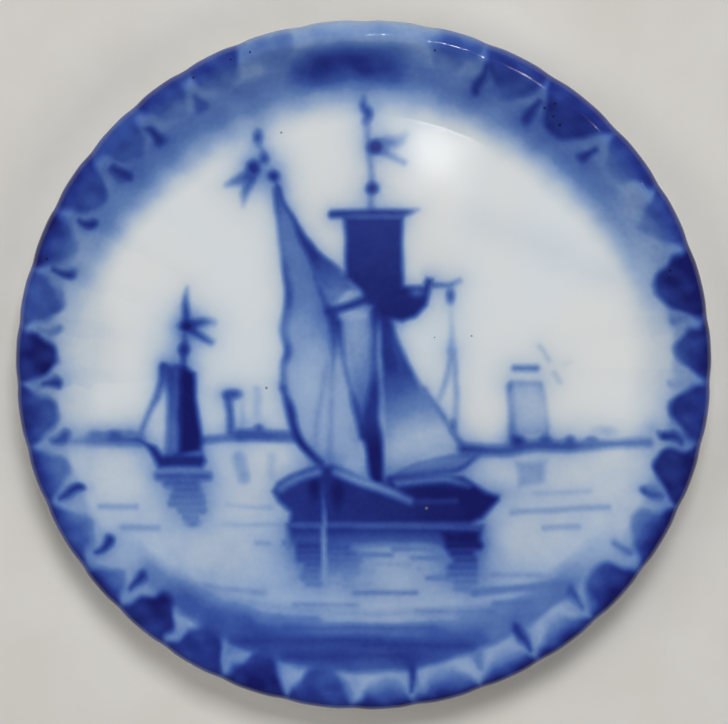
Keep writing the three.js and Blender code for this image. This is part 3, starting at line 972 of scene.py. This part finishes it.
def to_linear(colour, gain=1.0):
    """An sRGB colour out of 255 as a linear one for a shader."""
    part = np.array(colour) / 255
    linear = np.where(part <= 0.04045, part / 12.92, ((part + 0.055) / 1.055) ** 2.4) * gain
    return (*[float(value) for value in linear], 1.0)


class Tree:
    """A new material's node tree, with short ways to add to it."""

    def __init__(self, name):
        self.material = bpy.data.materials.new(name)
        self.material.use_nodes = True
        self.tree = self.material.node_tree
        self.shader = self.tree.nodes["Principled BSDF"]
        coordinates = self.add("ShaderNodeTexCoord")
        self.place = coordinates.outputs["Object"]
        self.facing = coordinates.outputs["Normal"]

    def fill(self, target, inputs):
        """Sets inputs of a node, each to a value or to another node's output."""
        for key, value in inputs.items():
            if isinstance(value, bpy.types.NodeSocket):
                self.tree.links.new(value, target.inputs[key])
            else:
                target.inputs[key].default_value = value

    def add(self, kind, inputs=None, **settings):
        made = self.tree.nodes.new(kind)
        for key, value in settings.items():
            setattr(made, key, value)
        self.fill(made, inputs or {})
        return made

    def noise(self, per_mm, detail):
        """Noise between 0 and 1 with so many features to the millimetre."""
        inputs = {"Vector": self.place, "Scale": per_mm / MM, "Detail": detail}
        return self.add("ShaderNodeTexNoise", inputs).outputs["Fac"]

    def maths(self, operation, *values):
        return self.add("ShaderNodeMath", dict(enumerate(values)), operation=operation).outputs[0]

    def varied(self, per_mm, detail, low, high):
        """A noise whose middle range is turned into low to high."""
        inputs = {"Value": self.noise(per_mm, detail), "From Min": 0.3, "From Max": 0.7}
        inputs.update({"To Min": low, "To Max": high})
        return self.add("ShaderNodeMapRange", inputs).outputs["Result"]

    def ramp(self, value, stops):
        made = self.add("ShaderNodeValToRGB", {"Fac": value})
        elements = made.color_ramp.elements
        while len(elements) < len(stops):
            elements.new(0.5)
        for element, (position, colour) in zip(elements, stops):
            element.position = position
            element.color = colour
        return made.outputs["Color"]

    def mixed(self, factor, first, second, blend="MIX"):
        inputs = {"Factor": factor, 6: first, 7: second}
        return self.add("ShaderNodeMix", inputs, data_type="RGBA", blend_type=blend).outputs[2]

    def dot(self, centre, radius):
        """A small round spot on the upper side, centred on an x and a y in millimetres."""
        offset = (-centre[0] * MM, -centre[1] * MM, 0)
        moved = self.add("ShaderNodeVectorMath", {0: self.place, 1: offset}, operation="ADD").outputs[0]
        level = self.add("ShaderNodeVectorMath", {0: moved, 1: (1, 1, 0)}, operation="MULTIPLY").outputs[0]
        away = self.add("ShaderNodeVectorMath", {0: level}, operation="LENGTH").outputs["Value"]
        inputs = {"Value": away, "From Min": radius * SPECK_CORE * MM, "From Max": radius * MM}
        inputs.update({"To Min": SPECK_STRENGTH, "To Max": 0})
        spot = self.add("ShaderNodeMapRange", inputs).outputs["Result"]
        upward = self.add("ShaderNodeSeparateXYZ", {"Vector": self.facing}).outputs["Z"]
        return self.maths("MULTIPLY", spot, self.maths("GREATER_THAN", upward, 0.0))

    def bump(self, per_mm, detail, millimetres):
        """The surface's direction, with a fine unevenness of its height."""
        inputs = {"Height": self.noise(per_mm, detail), "Distance": millimetres * MM, "Strength": 1.0}
        return self.add("ShaderNodeBump", inputs).outputs["Normal"]

    def finished(self, **inputs):
        """The material, with the shader's inputs set. An underscore stands for a space."""
        self.fill(self.shader, {key.replace("_", " "): value for key, value in inputs.items()})
        return self.material


def painted_glaze():
    """Cobalt painting under a clear gloss glaze, on white porcelain."""
    t = Tree("painted glaze")
    cobalt = t.add("ShaderNodeAttribute", attribute_name="cobalt").outputs["Fac"]
    # Cobalt lies unevenly where it is thin or of a middling depth, and evenly where it is deepest.
    washed = t.maths("MULTIPLY", cobalt, t.maths("SUBTRACT", 1.15, cobalt))
    grain = t.varied(3.2, 4, -0.03, 0.03)
    cloud = t.varied(0.8, 2, -0.07, 0.07)
    uneven = t.maths("MULTIPLY", washed, t.maths("ADD", grain, cloud))
    amount = t.maths("ADD", cobalt, uneven)
    colour = t.ramp(amount, [(stop, to_linear(tone, BASE_GAIN)) for stop, tone in COBALT_COLOURS])
    tint = t.ramp(t.noise(0.12, 1), [(0.35, (0.97, 1.0, 1.02, 1)), (0.65, (1.02, 1.0, 0.97, 1))])
    colour = t.mixed(1.0, colour, tint, "MULTIPLY")
    for azimuth, reach, radius in SPECKS:
        around = math.radians(azimuth)
        centre = (math.sin(around) * reach * OUTSIDE_RADIUS, math.cos(around) * reach * OUTSIDE_RADIUS)
        colour = t.mixed(t.dot(centre, radius), colour, to_linear(SPECK_COLOUR))
    for *centre, radius in PITS:
        colour = t.mixed(t.dot(centre, radius), colour, to_linear(PIT_COLOUR))
    roughness = t.varied(0.5, 3, 0.055, 0.065)
    normal = t.bump(3.0, 4, 0.0007)
    return t.finished(Base_Color=colour, Roughness=roughness, Normal=normal, IOR=1.5)


def clear_glaze():
    """Clear gloss glaze on white porcelain, a little uneven."""
    t = Tree("clear glaze")
    light = to_linear((211, 215, 217), BASE_GAIN)
    dark = to_linear((202, 207, 210), BASE_GAIN)
    colour = t.ramp(t.noise(0.3, 3), [(0.35, dark), (0.65, light)])
    roughness = t.varied(0.5, 3, 0.08, 0.15)
    normal = t.bump(0.7, 3, 0.004)
    return t.finished(Base_Color=colour, Roughness=roughness, Normal=normal, IOR=1.5)


def biscuit():
    """Bare fired porcelain: matt, faintly warm, and a little grey in patches."""
    t = Tree("biscuit")
    light = to_linear((226, 220, 208))
    dark = to_linear((206, 198, 184))
    grain = t.ramp(t.noise(4.0, 5), [(0.3, dark), (0.7, light)])
    grime = t.ramp(t.noise(0.6, 4), [(0.45, (1, 1, 1, 1)), (0.75, (0.80, 0.78, 0.74, 1))])
    colour = t.mixed(0.8, grain, grime, "MULTIPLY")
    roughness = t.varied(2.0, 4, 0.62, 0.82)
    normal = t.bump(6.0, 4, 0.02)
    return t.finished(Base_Color=colour, Roughness=roughness, Normal=normal)


def paper():
    """The pale floor that the plate lies on."""
    t = Tree("paper")
    light = to_linear((202, 200, 196), FLOOR_GAIN)
    dark = to_linear((197, 194, 189), FLOOR_GAIN)
    colour = t.ramp(t.noise(0.15, 4), [(0.3, dark), (0.7, light)])
    return t.finished(Base_Color=colour, Roughness=t.varied(1.0, 3, 0.8, 0.95))


# ---- The floor, the light and the camera ----


def lay_floor():
    """A wide plain floor just under the foot."""
    bpy.ops.mesh.primitive_plane_add(size=FLOOR_SIZE, location=(0, 0, -FLOOR_GAP))
    floor = bpy.context.object
    floor.name = "floor"
    floor.data.materials.append(paper())


def aimed_lamp(name, kind, place, target, power, colour):
    """A lamp at a place, in metres, turned towards a target."""
    lamp = bpy.data.lights.new(name, kind)
    lamp.energy = power
    lamp.color = colour
    holder = bpy.data.objects.new(name, lamp)
    holder.location = place
    holder.rotation_euler = (Vector(place) - Vector(target)).to_track_quat("Z", "Y").to_euler()
    bpy.context.scene.collection.objects.link(holder)
    return holder


def soft_light(name, azimuth, elevation, size, power, colour):
    """A soft square light that shines on the plate without being mirrored in its glaze."""
    around, up = math.radians(azimuth), math.radians(elevation)
    direction = Vector((math.sin(around) * math.cos(up), math.cos(around) * math.cos(up), math.sin(up)))
    holder = aimed_lamp(name, "AREA", direction * LIGHT_DISTANCE, (0, 0, 0), power, colour)
    holder.data.size = size
    holder.visible_glossy = False


def glint(name, place, target, spread, radius, power):
    """A small lamp that is only seen mirrored, in the part of the glaze that its cone reaches."""
    holder = aimed_lamp(name, "SPOT", place, target, power, (1, 1, 1))
    distance = (Vector(place) - Vector(target)).length
    holder.data.spot_size = 2 * math.atan(spread / distance)
    holder.data.spot_blend = 1
    holder.data.shadow_soft_size = radius
    holder.visible_diffuse = False


def light_the_scene():
    """Soft lamps for the picture, two small ones for its highlights, and a little light all round."""
    soft_light("key", 6, 62, size=0.16, power=1.66, colour=DAYLIGHT)
    soft_light("left_fill", 285, 55, size=0.30, power=0.66, colour=LAMPLIGHT)
    soft_light("right_fill", 120, 55, size=0.30, power=0.62, colour=LAMPLIGHT)
    glint("face_glint", FACE_LAMP, FACE_SPOT, spread=0.010, radius=0.005, power=0.010)
    glint("crest_glint", CREST_LAMP, CREST_SPOT, spread=0.010, radius=0.020, power=2.4)
    world = bpy.data.worlds.new("studio")
    world.use_nodes = True
    background = world.node_tree.nodes["Background"]
    background.inputs["Color"].default_value = AIR_COLOUR
    background.inputs["Strength"].default_value = AIR_STRENGTH
    bpy.context.scene.world = world
    bpy.context.scene.view_settings.view_transform = "Standard"


def place_camera():
    """The camera, nearly straight above the face, and a little towards the top of the picture."""
    camera = bpy.data.objects.new("camera", bpy.data.cameras.new("camera"))
    camera.data.lens = CAMERA_LENS
    camera.data.sensor_width = CAMERA_SENSOR
    tilt = math.radians(CAMERA_TILT)
    back = Vector((0, math.sin(tilt), math.cos(tilt)))
    camera.location = Vector(CAMERA_AIM) + back * CAMERA_DISTANCE
    camera.rotation_euler = (-tilt, 0, 0)
    bpy.context.scene.collection.objects.link(camera)
    bpy.context.scene.camera = camera


glaze_piece()
recess_piece()
foot_piece()
porcelain_body = bpy.data.objects["porcelain_body"]
porcelain_body.data.materials.clear()
porcelain_body.data.materials.append(biscuit())
lay_floor()
light_the_scene()
place_camera()
